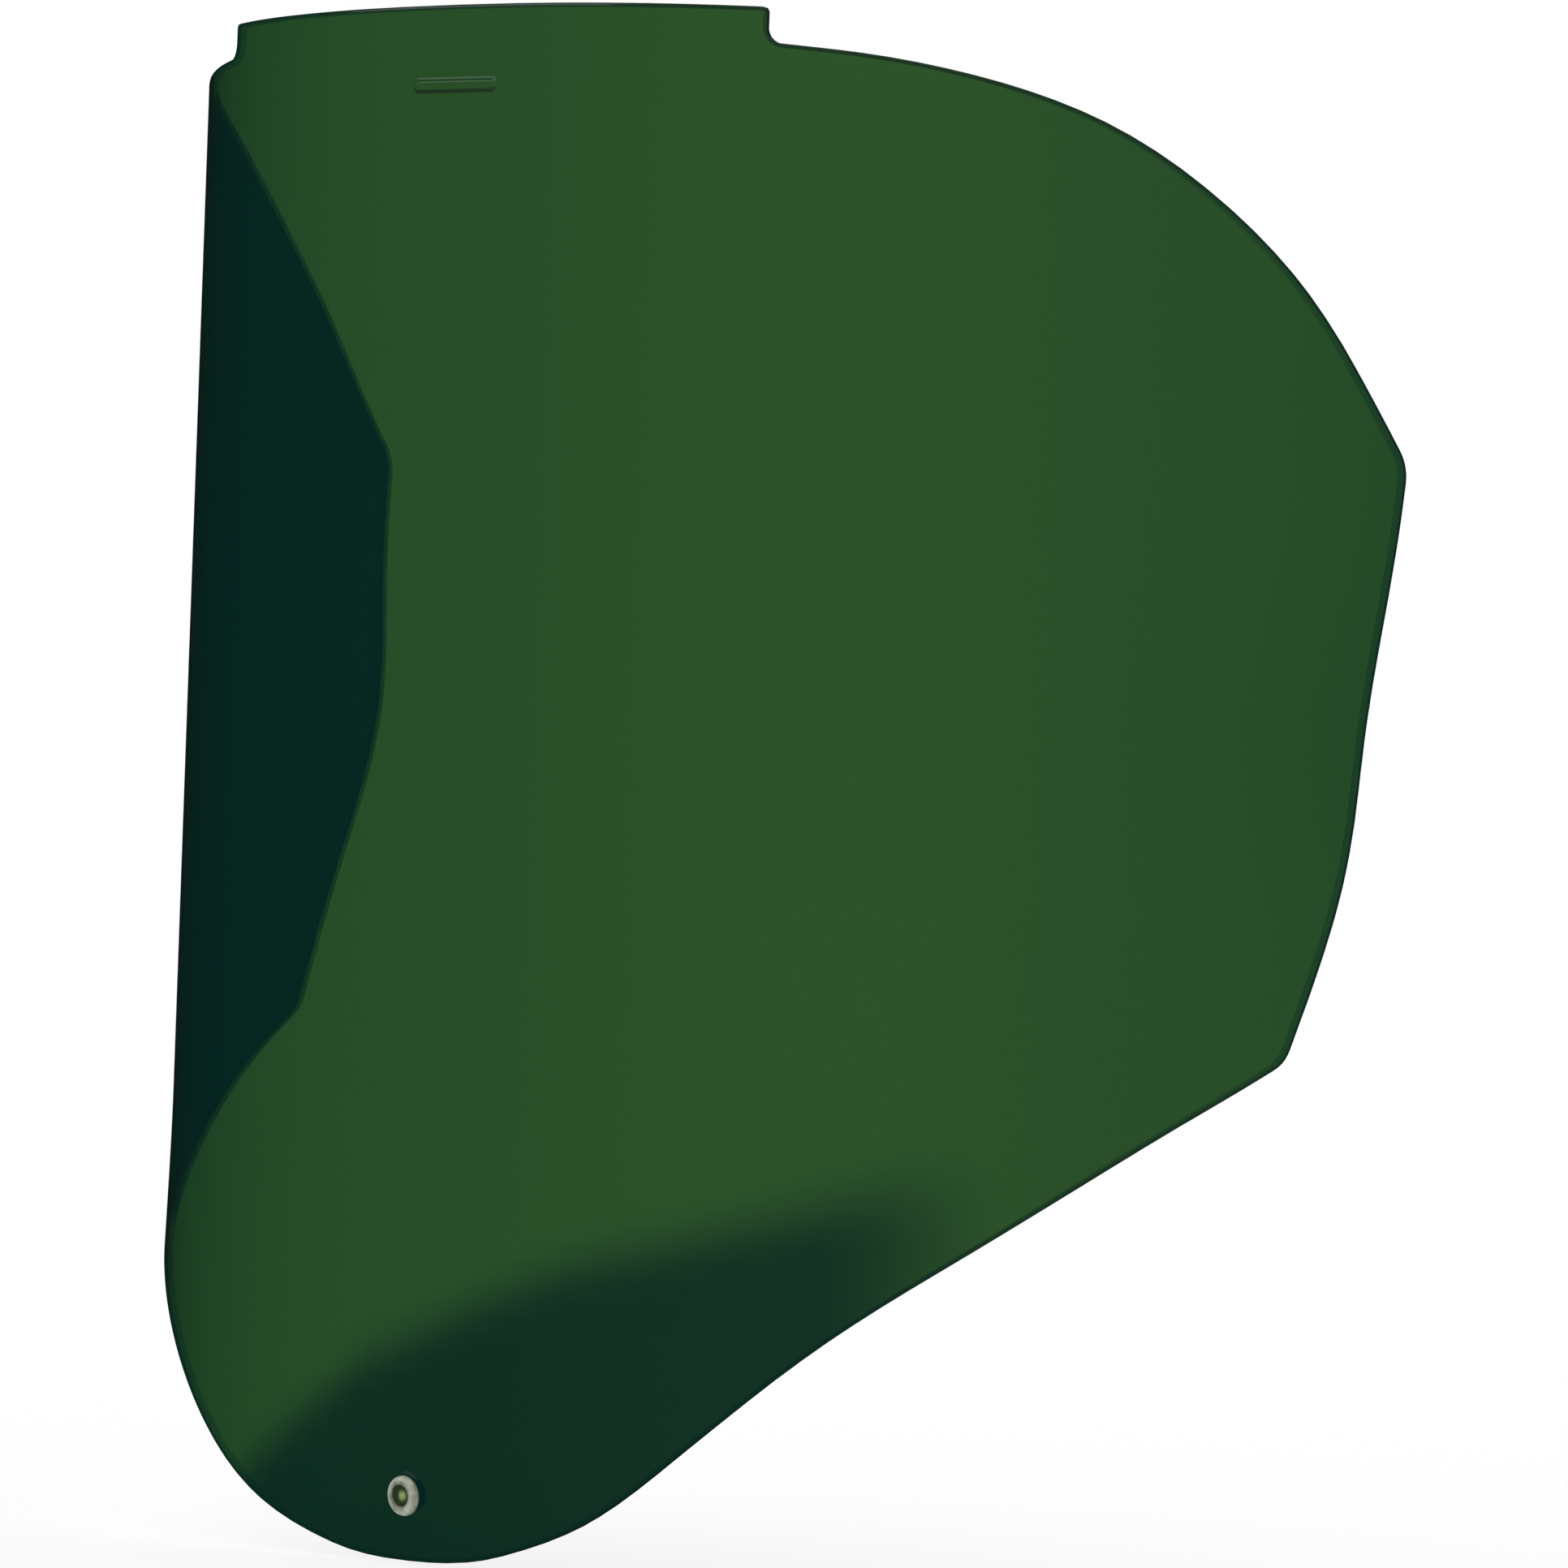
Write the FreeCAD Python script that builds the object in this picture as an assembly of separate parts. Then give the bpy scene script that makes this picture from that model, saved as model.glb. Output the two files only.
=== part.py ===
"""Replacement visor of a browguard face shield: one bent and trimmed sheet-like moulding with a raised
headgear tab along its top edge, and a small capped rivet with its backing washer in the chin.

FRAME (millimetres): origin at the middle of the tab's top edge, on the inner face. +Z up along the
wall, which is straight in that direction except in the chin and the wings, -Y out of the front of the
visor, +X towards one wing; the X = 0 plane is the symmetry plane. The wearer's face is on the +Y side.

The wall is described by two sheet coordinates: s, the length round the outer face from the centre line,
and z. The trimmed outline is drawn flat in (s, z), laid on the curved outer face, and thickened inwards,
so every edge of the visor is square to the wall, as on a real moulding.
"""
import FreeCAD, Part
import math
import os

V = FreeCAD.Vector
V2 = FreeCAD.Base.Vector2d

# ---- wall -------------------------------------------------------------------------------------------
WALL = 1.5                      # sheet thickness
# horizontal section of the outer face, from the centre line outwards: tangent arcs (length, radius)
SECTION = ((18.9, 677.4), (24.0, 139.3), (64.0, 80.9), (110.0, 125.6))
# chin: below CHIN_TOP the wall swells a little, then draws in to the bottom edge
CHIN_TOP, CHIN_BOTTOM = -180.0, -253.6
CHIN_RISE, CHIN_FALL = 7.3, 8.8  # swell = RISE t^2 - FALL t^3, t = 0 at CHIN_TOP and 1 at CHIN_BOTTOM
# wings: towards their rear edges they flare out a little, and a waist between the corners is drawn in
BOW_START, BOW_FULL = 110.0, 175.0   # s where the bow begins and where it reaches the values below
FLARE, WAIST, WAIST_Z, WAIST_SPAN = 2.6, 3.3, -114.0, 24.0

# ---- outline of the right half, in sheet coordinates (s, z) -------------------------------------------
TAB_HALF = 61.7                 # half width of the headgear tab
TAB_END_Z = -1.1                # its top edge is slightly crowned
TAB_CORNER_R = 0.8
TAB_ROOT_Z = -6.7               # where the tab's side meets the shoulder
TAB_ROOT_R = 2.6
UPPER_EDGE = ((77.0, -8.1), (97.0, -11.4), (117.0, -17.4), (136.0, -27.7), (155.8, -43.8))
UPPER_CORNER, UPPER_CORNER_R = (177.4, -69.6), 7.0
REAR_EDGE = ((175.2, -92.0), (173.5, -110.0), (170.2, -128.0), (164.2, -146.0))
LOWER_CORNER, LOWER_CORNER_R = (155.6, -167.1), 6.5
LOWER_EDGE = ((135.6, -177.9), (109.0, -193.9), (77.0, -215.1), (53.0, -234.7), (37.0, -245.4),
              (21.0, -251.1))

# ---- moulded rib under the tab ------------------------------------------------------------------------
RIB_LENGTH, RIB_HEIGHT, RIB_PROUD = 19.0, 2.4, 0.4
RIB_Z = -13.2

# ---- chin rivet -----------------------------------------------------------------------------------------
RIVET_Z = -243.0
HOLE_R = 1.55
PAD_R, PAD_PROUD = 4.0, 0.25     # flat moulded seats round the hole, outside and inside
HEAD_R, HEAD_T = 3.3, 1.1
CUP_R, CUP_DEPTH = 1.7, 0.6      # dished middle of the head
STEM_R = 1.5
WASHER_R, WASHER_T = 2.7, 0.4
CLENCH_R, CLENCH_T = 2.1, 0.5    # spread end of the rivet behind the washer
BORE_R, BORE_DEPTH = 0.9, 1.5    # hollow end of the rivet


def section_point(s):
    """Point and heading of the horizontal section at length s from the centre line (either sign)."""
    side, rest = (1.0 if s >= 0 else -1.0), abs(s)
    x = y = heading = 0.0
    for length, radius in SECTION:
        turn = min(rest, length) / radius
        x += radius * (math.sin(heading + turn) - math.sin(heading))
        y += radius * (math.cos(heading) - math.cos(heading + turn))
        heading += turn
        rest -= min(rest, length)
    return side * x, y, side * heading


def swell(z):
    """How far the chin stands out of the straight wall at height z."""
    t = max(0.0, (CHIN_TOP - z) / (CHIN_TOP - CHIN_BOTTOM))
    return CHIN_RISE * t ** 2 - CHIN_FALL * t ** 3


def bow(s, z):
    """How far a wing stands out of the straight wall at (s, z)."""
    share = (max(0.0, abs(s) - BOW_START) / (BOW_FULL - BOW_START)) ** 1.5
    return share * (FLARE - WAIST * math.exp(-((z - WAIST_Z) / WAIST_SPAN) ** 2))


def outward(s):
    heading = section_point(s)[2]
    return V(math.sin(heading), -math.cos(heading), 0)


def wall_point(s, z, inwards=0.0):
    x, y, heading = section_point(s)
    return V(x, y - WALL, z) + outward(s) * (swell(z) + bow(s, z) - inwards)


def wall_normal(s, z, step=0.05):
    """Outward normal of the outer face, the chin's swell included."""
    along = wall_point(s + step, z) - wall_point(s - step, z)
    down = wall_point(s, z - step) - wall_point(s, z + step)
    normal = down.cross(along)
    normal.normalize()
    return normal


def outer_surface(half_width=190.0, top=8.0, bottom=-262.0, columns=77, rows=31):
    """The untrimmed outer face, with its parameters equal to s and -z in millimetres."""
    grid = []
    for i in range(columns):
        s = -half_width + 2 * half_width * i / (columns - 1)
        grid.append([wall_point(s, top + (bottom - top) * j / (rows - 1)) for j in range(rows)])
    surface = Part.BSplineSurface()
    surface.interpolate(grid)
    surface.scaleKnotsToBounds(-half_width, half_width, -top, -bottom)
    return surface


def unit(a, b):
    d = math.hypot(b[0] - a[0], b[1] - a[1])
    return ((b[0] - a[0]) / d, (b[1] - a[1]) / d)


def line(a, b):
    return Part.Geom2d.Line2dSegment(V2(a[0], -a[1]), V2(b[0], -b[1]))


def spline(points, start, end):
    """Smooth curve through the points, leaving and arriving along the given directions."""
    curve = Part.Geom2d.BSplineCurve2d()
    curve.interpolate([V2(s, -z) for s, z in points], False, 1e-6,
                      V2(start[0], -start[1]), V2(end[0], -end[1]))
    return curve


def rounded(corner, came, goes, radius):
    """Arc that rounds a corner between two directions: its start, its end, and the curve."""
    dot = came[0] * goes[0] + came[1] * goes[1]
    turn = math.acos(max(-1.0, min(1.0, dot)))
    cut = radius * math.tan(turn / 2)
    a = (corner[0] - came[0] * cut, corner[1] - came[1] * cut)
    b = (corner[0] + goes[0] * cut, corner[1] + goes[1] * cut)
    inside = (goes[0] - came[0], goes[1] - came[1])
    size = math.hypot(*inside)
    reach = radius / math.cos(turn / 2)
    centre = (corner[0] + inside[0] / size * reach, corner[1] + inside[1] / size * reach)
    mid = (centre[0] - inside[0] / size * radius, centre[1] - inside[1] / size * radius)
    return a, b, arc(a, mid, b)


def arc(a, mid, b):
    """Circular arc through three points of the flat outline, as a rational curve."""
    curve = Part.Arc(V(a[0], -a[1], 0), V(mid[0], -mid[1], 0), V(b[0], -b[1], 0)).toNurbs()
    flat = Part.Geom2d.BSplineCurve2d()
    flat.buildFromPolesMultsKnots([V2(p.x, p.y) for p in curve.getPoles()], curve.getMultiplicities(),
                                  curve.getKnots(), False, curve.Degree, curve.getWeights())
    return flat


def half_outline(side):
    """Curves of one half of the outline, from the top centre round to the chin; side is 1 or -1."""
    def at(p):
        return (side * p[0], p[1])

    def way(a, b):
        return unit(at(a), at(b))

    def turned(d):
        return (side * d[0], d[1])

    tab_end = (TAB_HALF, TAB_END_Z)
    root = (TAB_HALF, TAB_ROOT_Z)
    crown = turned(unit((TAB_HALF * 0.6, TAB_END_Z * 0.36), tab_end))
    down = (0.0, -1.0)
    shoulder = way(root, UPPER_EDGE[0])
    a1, b1, corner1 = rounded(at(tab_end), crown, down, TAB_CORNER_R)
    a2, b2, corner2 = rounded(at(root), down, shoulder, TAB_ROOT_R)
    into = way(UPPER_EDGE[-1], UPPER_CORNER)
    out = way(UPPER_CORNER, REAR_EDGE[0])
    a3, b3, corner3 = rounded(at(UPPER_CORNER), into, out, UPPER_CORNER_R)
    into4 = way(REAR_EDGE[-1], LOWER_CORNER)
    out4 = way(LOWER_CORNER, LOWER_EDGE[0])
    a4, b4, corner4 = rounded(at(LOWER_CORNER), into4, out4, LOWER_CORNER_R)
    top = (0.0, 0.0)
    chin = (0.0, CHIN_BOTTOM)
    return [
        spline([top, a1], (side, 0), crown), corner1,
        line(b1, a2), corner2,
        spline([b2] + [at(p) for p in UPPER_EDGE] + [a3], shoulder, into), corner3,
        spline([b3] + [at(p) for p in REAR_EDGE] + [a4], out, into4), corner4,
        spline([b4] + [at(p) for p in LOWER_EDGE] + [chin], out4, (-side, 0)),
    ]


def laid_on(surface, curves):
    """Face of the surface inside a closed chain of flat curves."""
    edges = [c.toShape(surface) for c in curves]
    wire = Part.Wire(Part.__sortEdges__(edges))
    face = Part.Face(surface, wire)
    face.validate()
    return face


def thickened(face, amount):
    """Solid between a face and its copy moved along its normals by the amount."""
    solid = face.makeOffsetShape(amount, 1e-4, fill=True)
    return solid if solid.ShapeType == "Solid" else Part.Solid(solid)


def visor_sheet(surface):
    """The trimmed wall, thickened towards the wearer."""
    face = laid_on(surface, half_outline(1) + half_outline(-1))
    solid = thickened(face, WALL)
    if solid.CenterOfMass.y < face.CenterOfMass.y:
        solid = thickened(face, -WALL)
    return solid


def make_rib(surface):
    """Low bar with round ends on the outer face, just under the tab."""
    r = RIB_HEIGHT / 2
    straight = RIB_LENGTH / 2 - r
    left, right = -straight, straight
    curves = [
        line((left, RIB_Z + r), (right, RIB_Z + r)),
        arc((right, RIB_Z + r), (right + r, RIB_Z), (right, RIB_Z - r)),
        line((right, RIB_Z - r), (left, RIB_Z - r)),
        arc((left, RIB_Z - r), (left - r, RIB_Z), (left, RIB_Z + r)),
    ]
    face = laid_on(surface, curves)
    solid = face.extrude(V(0, -RIB_PROUD, 0))
    root = face.extrude(V(0, WALL / 2, 0))
    return solid.fuse(root)


def disc(centre, axis, radius, start, end):
    """Cylinder on an axis, between two distances along it."""
    return Part.makeCylinder(radius, end - start, centre + axis * start, axis)


def revolved(centre, axis, profile):
    """Solid of revolution on an axis, from a closed profile of (radius, distance along the axis)."""
    points = [V(r, 0, h) for r, h in profile]
    edges = [Part.LineSegment(a, b).toShape() for a, b in zip(points, points[1:] + points[:1])]
    solid = Part.Face(Part.Wire(edges)).revolve(V(0, 0, 0), V(0, 0, 1), 360)
    solid = Part.Solid(solid) if solid.ShapeType != "Solid" else solid
    solid.Placement = FreeCAD.Placement(centre, FreeCAD.Rotation(V(0, 0, 1), axis))
    return solid


def build():
    surface = outer_surface()
    axis = wall_normal(0, RIVET_Z)
    seat = wall_point(0, RIVET_Z)          # on the outer face, in the middle of the hole

    shell = visor_sheet(surface)
    shell = shell.fuse(make_rib(surface))
    shell = shell.fuse(disc(seat, axis, PAD_R, -WALL - PAD_PROUD, PAD_PROUD))
    shell = shell.cut(disc(seat, axis, HOLE_R, -WALL - 5, 5))
    shell = shell.removeSplitter()

    front = PAD_PROUD                       # underside of the head, on the outer pad
    back = -WALL - PAD_PROUD                # inner pad, where the washer lies
    tail = back - WASHER_T
    rivet = revolved(seat, axis, [
        (0, front + HEAD_T - CUP_DEPTH), (CUP_R * 0.8, front + HEAD_T - CUP_DEPTH),
        (CUP_R, front + HEAD_T - 0.15), (CUP_R + 0.25, front + HEAD_T), (HEAD_R - 0.75, front + HEAD_T),
        (HEAD_R - 0.22, front + HEAD_T - 0.3), (HEAD_R, front + HEAD_T - 0.75), (HEAD_R, front),
        (STEM_R, front), (STEM_R, tail), (CLENCH_R, tail), (CLENCH_R, tail - CLENCH_T * 0.5),
        (CLENCH_R - 0.35, tail - CLENCH_T), (BORE_R + 0.2, tail - CLENCH_T), (BORE_R, tail - CLENCH_T + 0.2),
        (BORE_R, tail - CLENCH_T + BORE_DEPTH), (0, tail - CLENCH_T + BORE_DEPTH),
    ])
    washer = disc(seat, axis, WASHER_R, tail, back).cut(disc(seat, axis, HOLE_R, tail - 1, back + 1))
    rim = [e for e in washer.Edges if e.Curve.TypeId == "Part::GeomCircle" and e.Curve.Radius > HOLE_R + 0.5]
    washer = washer.makeFillet(0.12, rim)
    return {"visor_shell": shell, "chin_rivet": rivet, "chin_rivet_washer": washer}


if __name__ == "__main__":
    os.makedirs("parts", exist_ok=True)
    for name, shape in build().items():
        shape.exportStep(os.path.join("parts", name + ".step"))
        print(name, shape.isValid(), len(shape.Solids), round(shape.Volume, 2), shape.optimalBoundingBox())
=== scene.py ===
import math

import bpy
import numpy as np
from mathutils import Matrix, Vector
from mathutils.geometry import delaunay_2d_cdt


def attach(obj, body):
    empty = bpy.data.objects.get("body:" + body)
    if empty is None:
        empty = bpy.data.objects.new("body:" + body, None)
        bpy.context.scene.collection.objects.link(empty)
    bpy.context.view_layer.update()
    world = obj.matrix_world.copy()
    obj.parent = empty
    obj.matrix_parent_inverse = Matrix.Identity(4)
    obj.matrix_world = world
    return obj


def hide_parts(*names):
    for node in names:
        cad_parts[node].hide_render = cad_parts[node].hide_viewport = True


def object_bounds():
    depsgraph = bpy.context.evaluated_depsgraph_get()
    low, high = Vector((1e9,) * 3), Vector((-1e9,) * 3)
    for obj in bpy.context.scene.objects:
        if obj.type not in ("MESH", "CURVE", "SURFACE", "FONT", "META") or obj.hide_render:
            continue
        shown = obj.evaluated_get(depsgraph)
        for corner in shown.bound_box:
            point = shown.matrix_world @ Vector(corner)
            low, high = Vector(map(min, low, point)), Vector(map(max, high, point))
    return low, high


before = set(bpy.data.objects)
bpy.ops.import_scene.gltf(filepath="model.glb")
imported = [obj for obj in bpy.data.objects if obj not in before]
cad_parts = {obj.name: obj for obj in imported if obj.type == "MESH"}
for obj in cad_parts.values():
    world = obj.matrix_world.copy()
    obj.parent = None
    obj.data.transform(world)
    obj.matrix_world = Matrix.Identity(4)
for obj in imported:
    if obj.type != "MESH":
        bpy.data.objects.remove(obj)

CAD_LO, CAD_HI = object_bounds()

# ---- the wall's form, in millimetres: s is the length round the outer face, z is the height -------------
WALL = 1.5
SECTION = ((18.9, 677.4), (24.0, 139.3), (64.0, 80.9), (110.0, 125.6))   # tangent arcs: length, radius
CHIN_TOP, CHIN_BOTTOM, CHIN_RISE, CHIN_FALL = -180.0, -253.6, 7.3, 8.8
BOW_START, BOW_FULL, FLARE, WAIST, WAIST_Z, WAIST_SPAN = 110.0, 175.0, 2.6, 3.3, -114.0, 24.0
RIVET_Z, HOLE_R, PAD_R, PAD_PROUD, CUP_R = -243.0, 1.55, 4.0, 0.25, 1.8
CUP_FRONT = 1.0                   # how far behind the rivet's front its dished middle is looked for
PAD_SLOPE = 0.25                  # width of the pad's sloping side
RIB_Z, RIB_LENGTH, RIB_HEIGHT, RIB_PROUD, RIB_BEVEL = -13.2, 19.0, 2.4, 0.4, 0.6
RIB_HALF = RIB_HEIGHT / 2
RIB_REACH = RIB_LENGTH / 2 - RIB_HALF      # from the rib's middle to where its round ends start
EDGE_R = 0.3                      # the moulded edges are slightly rounded
EDGE_STEPS = 3                    # strips of faces in each rounding
EDGE_LINE = 0.65                  # the wall is painted darker this near its outline: painted shade for the light that leaves by the edge
SKIN = 0.02                       # keeps the finer mesh inside the CAD wall
OUTER, OUTER_RIM, INNER, INNER_RIM, EDGE_OUT, EDGE_IN = range(6)   # material slots of the visor

# ---- how the mesh is divided, in millimetres -----------------------------------------------------------
GRID = 3.5                        # between the points inside the outline
GRID_S, GRID_Z = (-200, 200), (-262, 8)
CLEAR_OF_RIVET, CLEAR_OF_RIB, CLEAR_OF_RIM = 7, 2.6, 1.2     # where the even grid stops
OUTLINE_STEP = 0.7
ON_FACE = 0.12                    # a CAD point this near to the outer face lies on it
SHARP = 0.6                       # radians between two CAD faces that meet at an edge
RIVET_RINGS = (2.4, 3.3, 3.72, 3.8, 3.87, 3.94, 4.02, 4.4, 5.2, 6.2)
RIB_RINGS = (0.25, 0.5, 0.62, 0.72, 0.82, 0.92, 1.02, 1.12, 1.22, 1.5, 2.1)
RIB_SHADE_AT, RIB_SHADE_BELOW = 0.9, 0.4   # the painted shade line along the rib's lower slope

# ---- painted shade, where the tint is darker: painted shadow across the chin, a little on the wings; s in mm, then the zone's upper line and how wide it blurs, in mm ---
CHIN_SHADOW_LINE = ((-60, -35, -10, 15, 35, 55, 110), (-256, -238, -221.5, -211, -203.5, -198.5, -183))
CHIN_SHADOW_BLUR = ((-40, 0, 60, 110), (12, 12, 14, 20))
CHIN_SHADOW_FADE = (76, 114)             # the deep zone ends between these
WING_SHADE_FADE, WING_SHADE = (90, 125), 0.16

TABLE_S = np.linspace(-200.0, 200.0, 8001)


def section(s):
    """x, y and heading of the outer face at length s."""
    rest, x, y, heading = np.abs(s), 0.0, 0.0, 0.0
    for length, radius in SECTION:
        turn = np.minimum(rest, length) / radius
        x = x + radius * (np.sin(heading + turn) - np.sin(heading))
        y = y + radius * (np.cos(heading) - np.cos(heading + turn))
        heading = heading + turn
        rest = rest - np.minimum(rest, length)
    return np.sign(s) * x, y, np.sign(s) * heading


TABLE_X, TABLE_Y, TABLE_H = section(TABLE_S)


def swell(z):
    """How far forward the chin stands."""
    t = np.maximum(0.0, (CHIN_TOP - z) / (CHIN_TOP - CHIN_BOTTOM))
    return CHIN_RISE * t ** 2 - CHIN_FALL * t ** 3


def bow(s, z):
    """The wings' slight flare and the waist between their corners."""
    share = (np.maximum(0.0, np.abs(s) - BOW_START) / (BOW_FULL - BOW_START)) ** 1.5
    return share * (FLARE - WAIST * np.exp(-((z - WAIST_Z) / WAIST_SPAN) ** 2))


def on_wall(s, z, outwards):
    """Points in metres, at a distance outwards from the outer face."""
    x, y, h = section(s)
    out = swell(z) + bow(s, z) + outwards
    return np.stack([x + np.sin(h) * out, y - WALL - np.cos(h) * out, z], 1) / 1000


def flat_place(points):
    """s, z and distance outwards of points in millimetres."""
    best = np.empty((len(points), 3))
    for i, (x, y, z) in enumerate(points):
        j = int(np.argmin((TABLE_X - x) ** 2 + (TABLE_Y - WALL - y) ** 2))
        h = TABLE_H[j]
        out = (x - TABLE_X[j]) * math.sin(h) - (y + WALL - TABLE_Y[j]) * math.cos(h)
        best[i] = TABLE_S[j], z, out - swell(z) - bow(TABLE_S[j], z)
    return best


def smooth(a, b, x):
    """A soft step from 0 at a to 1 at b."""
    t = np.clip((x - a) / (b - a), 0, 1)
    return t * t * (3 - 2 * t)


def cad_outline(node):
    """The outline of the CAD node's outer face as an even loop of (s, z)."""
    mesh = node.data
    points = np.array([v.co for v in mesh.vertices]) * 1000
    numbers, index = {}, []
    for point in np.round(points, 3):
        index.append(numbers.setdefault(tuple(point), len(numbers)))
    place = flat_place(np.array(list(numbers)))
    normals = {}
    for face in mesh.polygons:
        corners = [index[v] for v in face.vertices]
        for a, b in zip(corners, corners[1:] + corners[:1]):
            if a != b:
                normals.setdefault((min(a, b), max(a, b)), []).append(face.normal.copy())
    near = {}
    for (a, b), ns in normals.items():
        sharp = len(ns) > 1 and max(ns[0].angle(n, 0) for n in ns[1:]) > SHARP
        if sharp and max(abs(place[a][2]), abs(place[b][2])) < ON_FACE:
            near.setdefault(a, []).append(b)
            near.setdefault(b, []).append(a)
    seen, longest = set(), []
    for start in near:
        if start in seen:
            continue
        loop, here, last = [], start, None
        while here is not None and here not in seen:
            seen.add(here)
            loop.append(here)
            onward = [n for n in near[here] if n != last and n not in seen]
            last, here = here, (onward[0] if onward else None)
        if len(loop) > len(longest):
            longest = loop
    flat = place[longest][:, :2]
    closed = np.vstack([flat, flat[:1]])
    run = np.concatenate([[0], np.cumsum(np.hypot(*np.diff(closed, axis=0).T))])
    at = np.linspace(0, run[-1], int(run[-1] / OUTLINE_STEP), endpoint=False)
    loop = np.stack([np.interp(at, run, closed[:, k]) for k in (0, 1)], 1)
    area = 0.5 * np.sum(loop[:, 0] * np.roll(loop[:, 1], -1) - loop[:, 1] * np.roll(loop[:, 0], -1))
    return loop if area > 0 else loop[::-1]


def inset(loop, amount):
    """A counter-clockwise loop moved inwards."""
    along = np.roll(loop, -1, 0) - np.roll(loop, 1, 0)
    along /= np.hypot(*along.T)[:, None]
    return loop + np.stack([-along[:, 1], along[:, 0]], 1) * amount


def within(points, loop):
    """Which points lie inside a closed loop."""
    (x, y), (ax, ay), (bx, by) = points.T, loop.T, np.roll(loop, -1, 0).T
    crossed = np.zeros(len(points), bool)
    for x0, y0, x1, y1 in zip(ax, ay, bx, by):
        if y0 != y1:
            crossed ^= ((y0 > y) != (y1 > y)) & (x < x0 + (y - y0) * (x1 - x0) / (y1 - y0))
    return crossed


def rib_distance(s, z):
    """Distance from the line along the rib's middle."""
    return np.hypot(np.maximum(np.abs(s) - RIB_REACH, 0), z - RIB_Z)


def relief(s, z, outside):
    """How far the moulded pad and rib stand proud of a face."""
    pad = PAD_PROUD * (1 - smooth(PAD_R - PAD_SLOPE, PAD_R, np.hypot(s, z - RIVET_Z)))
    if not outside:
        return pad
    return pad + RIB_PROUD * (1 - smooth(RIB_HALF - RIB_BEVEL, RIB_HALF, rib_distance(s, z)))


def ring(radius, count=48):
    """Points round the rivet's axis."""
    a = np.arange(count) / count * 2 * math.pi
    return np.stack([radius * np.cos(a), RIVET_Z + radius * np.sin(a)], 1)


def stadium(distance, step=0.6, count=12):
    """Points all round the rib, at one distance from the line along its middle."""
    points = []
    for x in np.arange(-RIB_REACH, RIB_REACH + 0.01, step):
        points += [(x, RIB_Z + distance), (x, RIB_Z - distance)]
    for k in range(1, count):
        a = -math.pi / 2 + k * math.pi / count
        across, height = RIB_REACH + distance * math.cos(a), RIB_Z + distance * math.sin(a)
        points += [(across, height), (-across, height)]
    return np.array(points)


def sides(loop):
    """The sides of a face or a closed loop, as unordered pairs of points."""
    return [frozenset(pair) for pair in zip(loop, loop[1:] + loop[:1])]


def enclosed(faces, start, borders):
    """Which faces can be reached from one face without crossing a border loop."""
    fence = {side for loop in borders for side in sides(loop)}
    beside = {}
    for i, face in enumerate(faces):
        for side in sides(face):
            beside.setdefault(side, set()).add(i)
    reached, waiting = {start}, [start]
    while waiting:
        for side in set(sides(faces[waiting.pop()])) - fence:
            waiting += beside[side] - reached
            reached |= beside[side]
    return np.isin(np.arange(len(faces)), list(reached))


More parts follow.
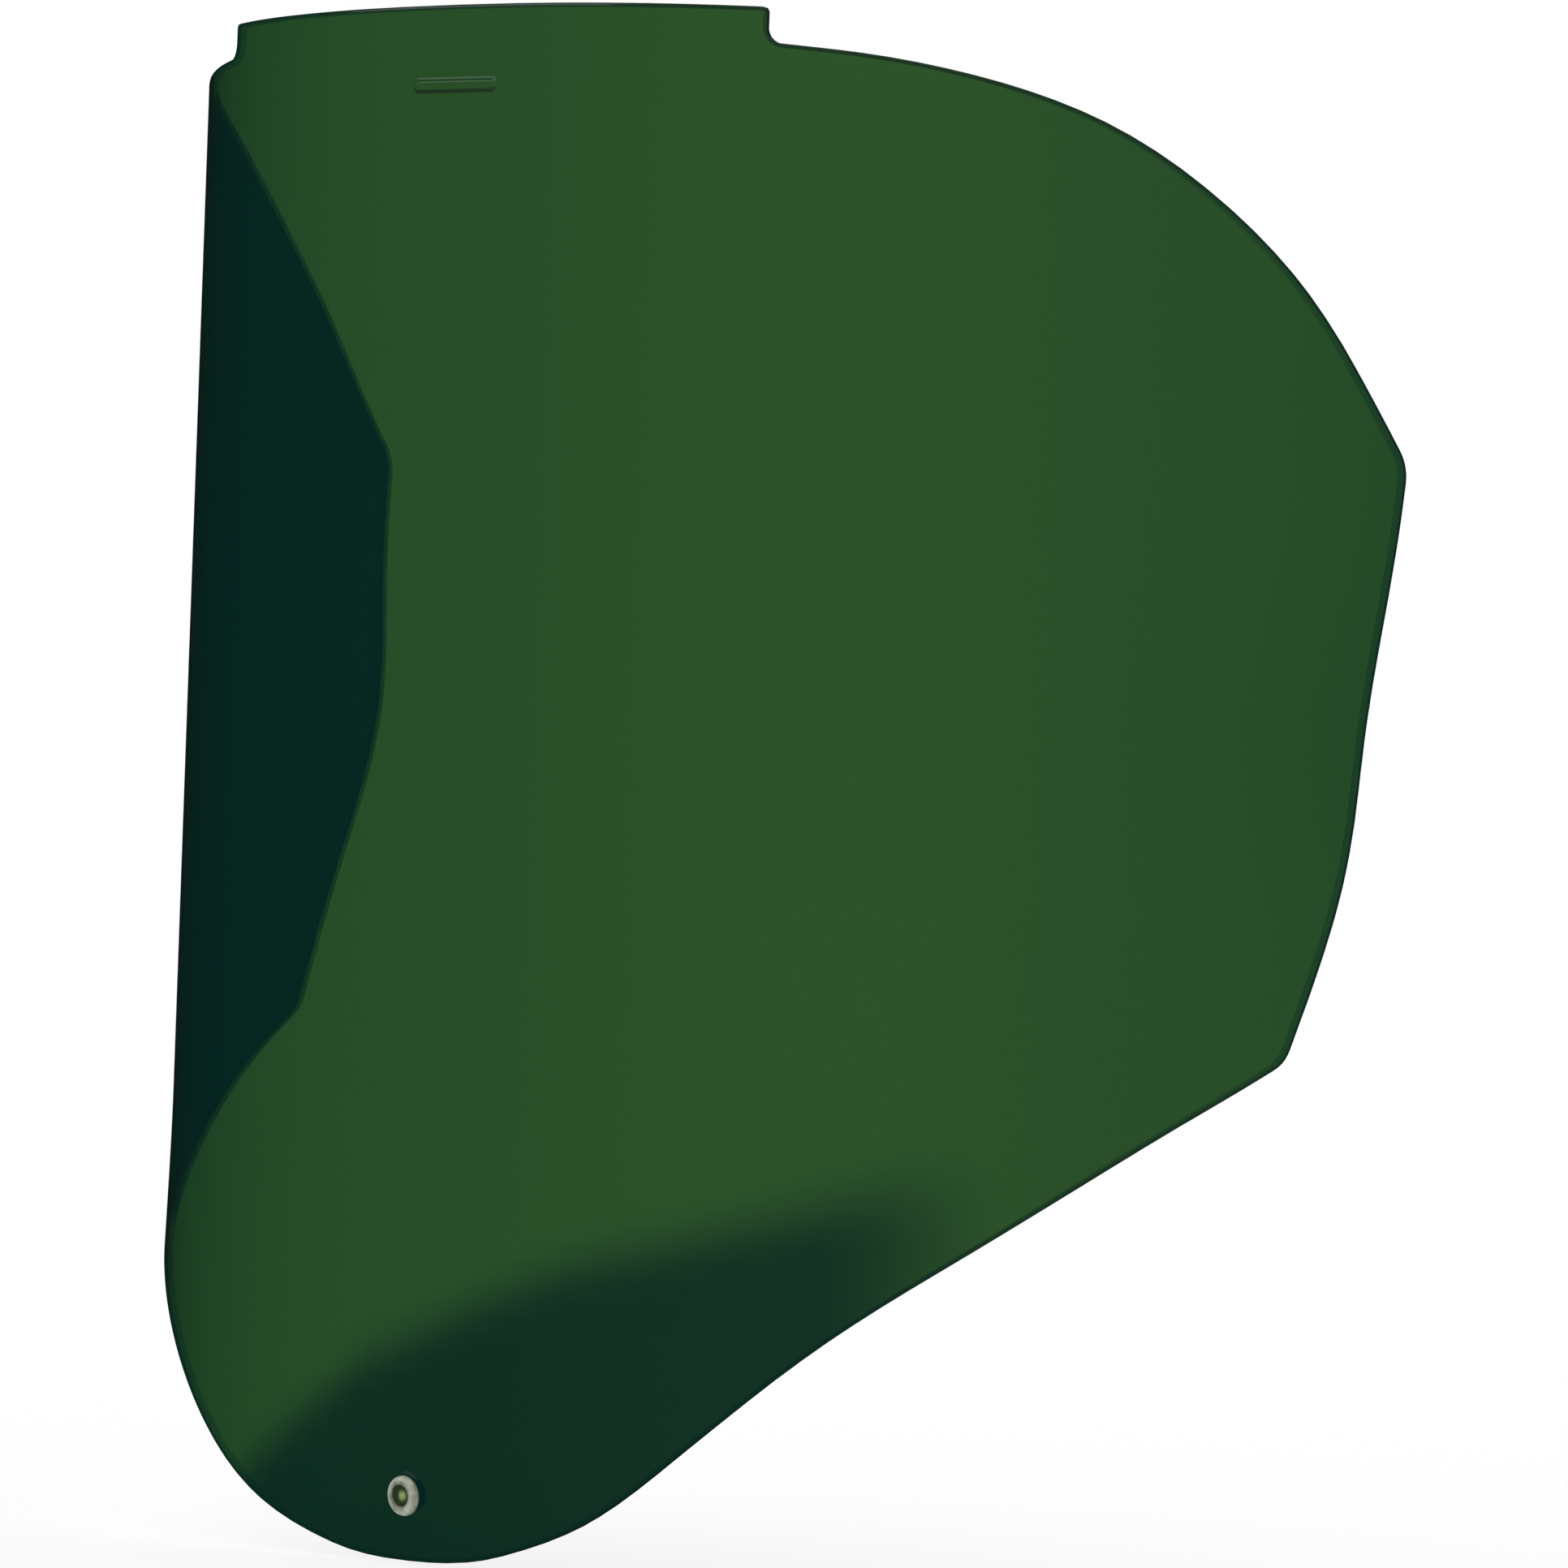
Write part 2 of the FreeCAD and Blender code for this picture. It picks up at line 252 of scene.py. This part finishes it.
def shell_mesh(outline):
    """The visor as one closed mesh: smooth faces, rounded edges, pad, rib and rivet hole."""
    first = inset(outline, EDGE_R)
    hole = ring(HOLE_R)
    xs = np.arange(*GRID_S, GRID)
    zs = np.arange(*GRID_Z, GRID)
    grid = np.array([(x + (GRID / 2 if k % 2 else 0), z) for k, z in enumerate(zs) for x in xs])
    off_rivet = np.hypot(grid[:, 0], grid[:, 1] - RIVET_Z) > CLEAR_OF_RIVET
    grid = grid[off_rivet & (rib_distance(*grid.T) > CLEAR_OF_RIB)]
    grid = grid[within(grid, first)]
    near = np.array([np.min(np.hypot(*(first - g).T)) for g in grid])
    grid = grid[near > CLEAR_OF_RIM]
    fine = [ring(r) for r in RIVET_RINGS] + [stadium(d) for d in RIB_RINGS]
    line = inset(outline, EDGE_LINE)
    points = np.vstack([first, hole, line, grid] + fine)
    n, m = len(first), len(hole)
    edges = [(i, (i + 1) % n) for i in range(n)] + [(n + i, n + (i + 1) % m) for i in range(m)]
    edges += [(n + m + i, n + m + (i + 1) % n) for i in range(n)]
    out = delaunay_2d_cdt([Vector(p) for p in points], edges, [], 1, 1e-5, True)
    flat, faces, origin = np.array([tuple(v) for v in out[0]]), out[2], out[3]
    back = {}
    for new, olds in enumerate(origin):
        for old in olds:
            back[old] = new
    rim = [back[i] for i in range(n)]
    bore = [back[n + i] for i in range(m)]
    middles = np.array([flat[list(f)].mean(0) for f in faces])
    start = int(np.argmin(np.hypot(middles[:, 0], middles[:, 1] - WAIST_Z)))   # a face far from any border
    kept = enclosed(faces, start, (rim, bore))
    # The band near the outline takes the darker rim tints: painted shade.
    on_rim = ~within(middles, line)
    # The rib's lower slope takes the darker rim tint: a painted shade line under the rib.
    on_slope = np.abs(rib_distance(*middles.T) - RIB_SHADE_AT) < RIB_BEVEL / 2
    painted_shade_under_rib = on_slope & (middles[:, 1] < RIB_Z - RIB_SHADE_BELOW)
    kinds = [OUTER_RIM if dark else OUTER for dark in (on_rim | painted_shade_under_rib)[kept]]
    kinds += [INNER_RIM if dark else INNER for dark in on_rim[kept]]
    faces = [f for f, keep in zip(faces, kept) if keep]
    used = sorted({v for f in faces for v in f})
    number = {v: i for i, v in enumerate(used)}
    flat = flat[used]
    faces = [tuple(number[v] for v in f) for f in faces]
    rim = [number[v] for v in rim]
    bore = [number[v] for v in bore]
    count = len(flat)
    s, z = flat.T
    blocks = [
        on_wall(s, z, relief(s, z, True) - SKIN),
        on_wall(s, z, SKIN - WALL - relief(s, z, False)),
    ]
    places = [flat, flat]
    polygons = list(faces) + [tuple(count + v for v in reversed(f)) for f in faces]
    rings = [rim]
    angles = [k / EDGE_STEPS * math.pi / 2 for k in range(1, EDGE_STEPS + 1)]
    levels = [(EDGE_R * (1 - math.sin(a)), EDGE_R * (1 - math.cos(a))) for a in angles]
    levels += [(0.0, WALL / 2)] + [(i, WALL - d) for i, d in reversed(levels)]
    strips = [OUTER_RIM] * EDGE_STEPS + [EDGE_OUT, EDGE_IN] + [INNER_RIM] * EDGE_STEPS
    base = 2 * count
    for i, depth in levels:
        loop = inset(outline, i)
        blocks.append(on_wall(loop[:, 0], loop[:, 1], -depth))
        places.append(loop)
        rings.append(list(range(base, base + n)))
        base += n
    rings.append([count + v for v in rim])
    for a, b, kind in zip(rings, rings[1:], strips):
        for k in range(n):
            q = (k + 1) % n
            polygons.append((a[k], b[k], b[q], a[q]))
            kinds.append(kind)
    for k in range(m):
        q = (k + 1) % m
        polygons.append((bore[k], bore[q], count + bore[q], count + bore[k]))
        kinds.append(INNER)
    mesh = bpy.data.meshes.new("visor")
    mesh.from_pydata(np.vstack(blocks).tolist(), [], polygons)
    mesh.polygons.foreach_set("material_index", kinds)
    mesh.polygons.foreach_set("use_smooth", [True] * len(polygons))
    # Where the tint is painted darker: painted shadow across the chin and a little painted shade on the
    # wings.
    painted_shade = mesh.attributes.new("painted_shade", "FLOAT", "POINT")
    painted_shade.data.foreach_set("value", painted_shade_share(*np.vstack(places).T).astype(np.float32))
    mesh.validate()
    mesh.update()
    return mesh


def painted_shade_share(s, z):
    """How much painted shade darkens the tint, 0 to 1.

    It is painted shadow across the chin, below a soft line that rises towards +X, and a little painted shade
    on the wings.
    """
    line = np.interp(s, *CHIN_SHADOW_LINE)
    wide = np.interp(s, *CHIN_SHADOW_BLUR)
    chin = smooth(0.5, -0.5, (z - line) / wide) * (1 - smooth(*CHIN_SHADOW_FADE, s))
    return np.maximum(chin, WING_SHADE * smooth(*WING_SHADE_FADE, np.abs(s)))


# ---- materials: tints are what passes straight through, bodies are what the plastic scatters ---------------
IOR = 1.58                        # polycarbonate
SLANT_TINT = 0.25                 # how much longer the way through the tint gets towards a grazing view
BODY, EDGE_BODY, NO_BODY = (0.0013, 0.0195, 0.0165), (0.0005, 0.004, 0.004), (0.0, 0.0, 0.0)
# The second colour on this line and the next is painted shade: the darker tint across the chin and on the
# wings.
WALL_TINT, PAINTED_SHADE_TINT = (0.0262, 0.0720, 0.0086), (0.0052, 0.0148, 0.0018)
# The rim tints are darker than the wall's: painted shade along the outline and its rounded edges.
RIM_TINT, PAINTED_SHADE_RIM_TINT = (0.0190, 0.0290, 0.0020), (0.0032, 0.0080, 0.0006)
CLEAR = (1.0, 1.0, 1.0)
# The paler inner tint shows as a thin light line on the inner rounding of the edge: a painted glint.
EDGE_OUT_TINT, EDGE_IN_TINT = (0.20, 0.26, 0.14), (0.60, 0.64, 0.45)
ALONG = (0.012, 0.040, 0.006)     # the tint of the long way from the edge through the sheet
GLOSS_ROUGHNESS = 0.08
RIPPLE_SCALE, RIPPLE_STRENGTH, RIPPLE_HEIGHT = 35.0, 0.04, 0.001     # the moulded face's slight unevenness
METALLIC = 0.3                    # the plating is worn and dull
MOTTLE_SCALE, MOTTLE_FROM, MOTTLE_CONTRAST, MOTTLE_SHARE = 620.0, 0.38, 4.0, 0.5


def material(name):
    """A new material with an empty node tree."""
    m = bpy.data.materials.new(name)
    m.use_nodes = True
    m.node_tree.nodes.clear()
    return m, m.node_tree.nodes, m.node_tree.links


def sums(nodes, links):
    """A shorthand for Math nodes: each argument is a socket or a number."""
    def calc(operation, *terms):
        node = nodes.new("ShaderNodeMath")
        node.operation = operation
        for socket, term in zip(node.inputs, terms):
            if isinstance(term, (int, float)):
                socket.default_value = term
            else:
                links.new(term, socket)
        return node.outputs[0]
    return calc


def mixed(nodes, links, first, second, share):
    """A mix of two colours, each a socket or three numbers, by the socket share."""
    node = nodes.new("ShaderNodeMix")
    node.data_type = "RGBA"
    for socket, colour in ((node.inputs[6], first), (node.inputs[7], second)):
        if isinstance(colour, tuple):
            socket.default_value = (*colour, 1)
        else:
            links.new(colour, socket)
    links.new(share, node.inputs[0])
    return node.outputs[2]


def tinted(name, tint, painted_shade, body, edge=False):
    """See-through tinted plastic: what shows through the wall, a faint body colour and a clear gloss.

    The outer face carries the wall's whole tint, so a wall that is seen along its bend is as dark as two.
    Light that enters at a slant bends in the plastic and goes a longer way through the tint. Light that
    enters by the edge runs along inside the sheet, so a cut edge looks dark from outside.
    """
    m, nodes, links = material(name)
    calc = sums(nodes, links)
    out = nodes.new("ShaderNodeOutputMaterial")
    depth = nodes.new("ShaderNodeAttribute")
    depth.attribute_name = "painted_shade"
    # Where the attribute is set, the tint darkens towards the second colour: painted shade.
    seen = mixed(nodes, links, tint, painted_shade, depth.outputs["Fac"])
    slant = nodes.new("ShaderNodeLayerWeight")
    slant.inputs["Blend"].default_value = 0.5
    cosine = calc("SUBTRACT", 1.0, slant.outputs["Facing"])
    sine2 = calc("SUBTRACT", 1.0, calc("MULTIPLY", cosine, cosine))
    way = calc("ADD", 1.0, calc("MULTIPLY", calc("MULTIPLY", sine2, sine2), SLANT_TINT))
    side = nodes.new("ShaderNodeNewGeometry")
    if edge:
        seen = mixed(nodes, links, ALONG, seen, side.outputs["Backfacing"])
    split, join = nodes.new("ShaderNodeSeparateColor"), nodes.new("ShaderNodeCombineColor")
    links.new(seen, split.inputs[0])
    for channel in range(3):
        links.new(calc("POWER", split.outputs[channel], way), join.inputs[channel])
    through = nodes.new("ShaderNodeBsdfTransparent")
    links.new(join.outputs[0], through.inputs["Color"])
    dull = nodes.new("ShaderNodeBsdfDiffuse")
    dull.inputs["Color"].default_value = (*body, 1)
    add = nodes.new("ShaderNodeAddShader")
    links.new(through.outputs[0], add.inputs[0])
    links.new(dull.outputs[0], add.inputs[1])
    shine = nodes.new("ShaderNodeBsdfAnisotropic")
    shine.inputs["Roughness"].default_value = GLOSS_ROUGHNESS
    noise = nodes.new("ShaderNodeTexNoise")
    noise.inputs["Scale"].default_value = RIPPLE_SCALE
    bump = nodes.new("ShaderNodeBump")
    bump.inputs["Strength"].default_value = RIPPLE_STRENGTH
    bump.inputs["Distance"].default_value = RIPPLE_HEIGHT
    place = nodes.new("ShaderNodeTexCoord")
    links.new(place.outputs["Object"], noise.inputs["Vector"])
    links.new(noise.outputs["Fac"], bump.inputs["Height"])
    links.new(bump.outputs["Normal"], shine.inputs["Normal"])
    fresnel = nodes.new("ShaderNodeFresnel")
    fresnel.inputs["IOR"].default_value = IOR
    share = calc("MULTIPLY", fresnel.outputs[0], calc("SUBTRACT", 1.0, side.outputs["Backfacing"]))
    both = nodes.new("ShaderNodeMixShader")
    links.new(share, both.inputs[0])
    links.new(add.outputs[0], both.inputs[1])
    links.new(shine.outputs[0], both.inputs[2])
    links.new(both.outputs[0], out.inputs["Surface"])
    return m


def metal(name, dull, bright, roughness, dull_at, bright_at):
    """Worn plated metal, mottled at random, and dark to bright between two distances in mm from the rivet's
    axis: painted shade in and round the rivet's cup.
    """
    m, nodes, links = material(name)
    calc = sums(nodes, links)
    out = nodes.new("ShaderNodeOutputMaterial")
    shader = nodes.new("ShaderNodeBsdfPrincipled")
    shader.inputs["Metallic"].default_value = METALLIC
    shader.inputs["Roughness"].default_value = roughness
    place = nodes.new("ShaderNodeTexCoord")
    axes = nodes.new("ShaderNodeSeparateXYZ")
    links.new(place.outputs["Object"], axes.inputs[0])
    height = calc("SUBTRACT", axes.outputs["Z"], RIVET_Z / 1000)
    square = calc("ADD", calc("POWER", axes.outputs["X"], 2.0), calc("POWER", height, 2.0))
    noise = nodes.new("ShaderNodeTexNoise")
    noise.inputs["Scale"].default_value = MOTTLE_SCALE
    links.new(place.outputs["Object"], noise.inputs["Vector"])
    reach = calc("SUBTRACT", calc("MULTIPLY", calc("SQRT", square), 1000.0), dull_at)
    share = calc("DIVIDE", reach, bright_at - dull_at)
    share.node.use_clamp = True
    mottle = calc("MULTIPLY", calc("SUBTRACT", noise.outputs["Fac"], MOTTLE_FROM), MOTTLE_CONTRAST)
    mottle.node.use_clamp = True
    mottled = calc("ADD", calc("MULTIPLY", mottle, MOTTLE_SHARE), 1.0 - MOTTLE_SHARE)
    colour = mixed(nodes, links, dull, bright, calc("MULTIPLY", share, mottled))
    links.new(colour, shader.inputs["Base Color"])
    links.new(shader.outputs[0], out.inputs["Surface"])
    return m


# ---- the visor, its rivet and washer --------------------------------------------------------------------
cad_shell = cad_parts["visor_shell"]
visor = bpy.data.objects.new("visor_window", shell_mesh(cad_outline(cad_shell)))
bpy.context.scene.collection.objects.link(visor)
for look in (
    tinted("green_tint", WALL_TINT, PAINTED_SHADE_TINT, BODY),
    tinted("green_tint_rim", RIM_TINT, PAINTED_SHADE_RIM_TINT, BODY),
    tinted("clear_inside", CLEAR, CLEAR, NO_BODY),
    tinted("clear_inside_rim", EDGE_IN_TINT, EDGE_IN_TINT, EDGE_BODY),
    tinted("outer_half_of_edge", EDGE_OUT_TINT, EDGE_OUT_TINT, EDGE_BODY, edge=True),
    tinted("inner_half_of_edge", EDGE_IN_TINT, EDGE_IN_TINT, EDGE_BODY, edge=True),
):
    visor.data.materials.append(look)
weighted = visor.modifiers.new("weighted", "WEIGHTED_NORMAL")
weighted.weight = 100
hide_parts("visor_shell")
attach(visor, "root")

# The nickel is darker close to the axis, painted shade round the cup's rim. The cup is darker towards its
# wall, painted shade, and bright in its green middle, partly a painted highlight.
nickel = metal("satin_nickel", dull=(0.13, 0.14, 0.08), bright=(0.60, 0.66, 0.53),
               roughness=0.4, dull_at=1.6, bright_at=2.5)
cup_shade_look = metal("cup_painted_shade_and_highlight", dull=(0.035, 0.060, 0.028), bright=(0.36, 0.50, 0.14),
               roughness=0.5, dull_at=1.12, bright_at=0.42)
for name in ("chin_rivet", "chin_rivet_washer"):
    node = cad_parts[name]
    node.data.materials.clear()
    node.data.materials.append(nickel)
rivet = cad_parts["chin_rivet"].data
rivet.materials.append(cup_shade_look)
for face in rivet.polygons:
    middle = face.center * 1000
    if math.hypot(middle.x, middle.z - RIVET_Z) < CUP_R and middle.y < CAD_LO.y * 1000 + CUP_FRONT:
        face.material_index = 1

# ---- stage, light and camera ----------------------------------------------------------------------------
STUDIO, STUDIO_IN_GLOSS = 1.0, 0.006
FLOOR_GLOW, FLOOR_DULL = 0.8, 0.2          # together as bright as the studio, so the floor has no horizon
FLOOR_SIZE, FLOOR_GAP = 14, 0.0006

world = bpy.data.worlds.new("studio")
bpy.context.scene.world = world
world.use_nodes = True
world_nodes, world_links = world.node_tree.nodes, world.node_tree.links
world_nodes.clear()
w_out = world_nodes.new("ShaderNodeOutputWorld")
w_seen, w_gloss = world_nodes.new("ShaderNodeBackground"), world_nodes.new("ShaderNodeBackground")
w_seen.inputs["Color"].default_value = (1, 1, 1, 1)
w_seen.inputs["Strength"].default_value = STUDIO
w_gloss.inputs["Color"].default_value = (0.9, 0.95, 1.0, 1)
w_gloss.inputs["Strength"].default_value = STUDIO_IN_GLOSS
w_path, w_mix = world_nodes.new("ShaderNodeLightPath"), world_nodes.new("ShaderNodeMixShader")
world_links.new(w_path.outputs["Is Glossy Ray"], w_mix.inputs[0])
world_links.new(w_seen.outputs[0], w_mix.inputs[1])
world_links.new(w_gloss.outputs[0], w_mix.inputs[2])
world_links.new(w_mix.outputs[0], w_out.inputs["Surface"])

bpy.ops.mesh.primitive_plane_add(size=FLOOR_SIZE, location=(0, 0, CAD_LO.z - FLOOR_GAP))
floor = bpy.context.object
floor.name = "floor"
floor_look, floor_nodes, floor_links = material("pale_floor")
f_out, f_add = floor_nodes.new("ShaderNodeOutputMaterial"), floor_nodes.new("ShaderNodeAddShader")
f_glow, f_dull = floor_nodes.new("ShaderNodeEmission"), floor_nodes.new("ShaderNodeBsdfDiffuse")
f_glow.inputs["Color"].default_value = (1, 1, 1, 1)
f_glow.inputs["Strength"].default_value = FLOOR_GLOW
f_dull.inputs["Color"].default_value = (FLOOR_DULL, FLOOR_DULL, FLOOR_DULL, 1)
floor_links.new(f_glow.outputs[0], f_add.inputs[0])
floor_links.new(f_dull.outputs[0], f_add.inputs[1])
floor_links.new(f_add.outputs[0], f_out.inputs["Surface"])
floor.data.materials.append(floor_look)
floor.visible_glossy = False


def area_light(name, place, aim, size, watts):
    """A soft lamp that lights no dull surface, and so shows in the gloss only."""
    lamp = bpy.data.lights.new(name, "AREA")
    lamp.size, lamp.energy = size, watts
    holder = bpy.data.objects.new(name, lamp)
    bpy.context.scene.collection.objects.link(holder)
    holder.location = place
    holder.visible_diffuse = False
    holder.rotation_mode = "QUATERNION"
    holder.rotation_quaternion = (Vector(aim) - Vector(place)).to_track_quat("-Z", "Y")


area_light("overhead", place=(0.2, -0.3, 2.2), aim=(0, 0, -0.1), size=2.4, watts=14)
area_light("front_left", place=(-1.6, -1.8, 0.9), aim=(0, 0, -0.12), size=1.2, watts=5)

AZ, EL, ROLL = 42.961, -0.046, 2.044       # degrees
DISTANCE, FOCAL_PX, FRAME_PX = 1.7355, 13122.0, 1932
MIDDLE_Z, AIM_RIGHT, AIM_DOWN = -0.126, 0.05658, 0.00102
SENSOR = 36.0
a, e, r = (math.radians(v) for v in (AZ, EL, ROLL))
ahead = Vector((-math.sin(a) * math.cos(e), math.cos(a) * math.cos(e), -math.sin(e)))
flat_right = Vector((math.cos(a), math.sin(a), 0))
flat_up = flat_right.cross(ahead)
right = flat_right * math.cos(r) + flat_up * math.sin(r)
up = flat_up * math.cos(r) - flat_right * math.sin(r)
target = Vector((0, 0, MIDDLE_Z)) + right * AIM_RIGHT - up * AIM_DOWN
cam = bpy.data.objects.new("camera", bpy.data.cameras.new("camera"))
bpy.context.scene.collection.objects.link(cam)
cam.data.sensor_width = SENSOR
cam.data.lens = SENSOR * FOCAL_PX / FRAME_PX
cam.data.clip_start, cam.data.clip_end = 0.05, 50
basis = Matrix((right, up, -ahead)).transposed().to_4x4()
cam.matrix_world = Matrix.Translation(target - ahead * DISTANCE) @ basis
bpy.context.scene.camera = cam
bpy.context.scene.view_settings.view_transform = "Standard"
bpy.context.scene.view_settings.look = "None"
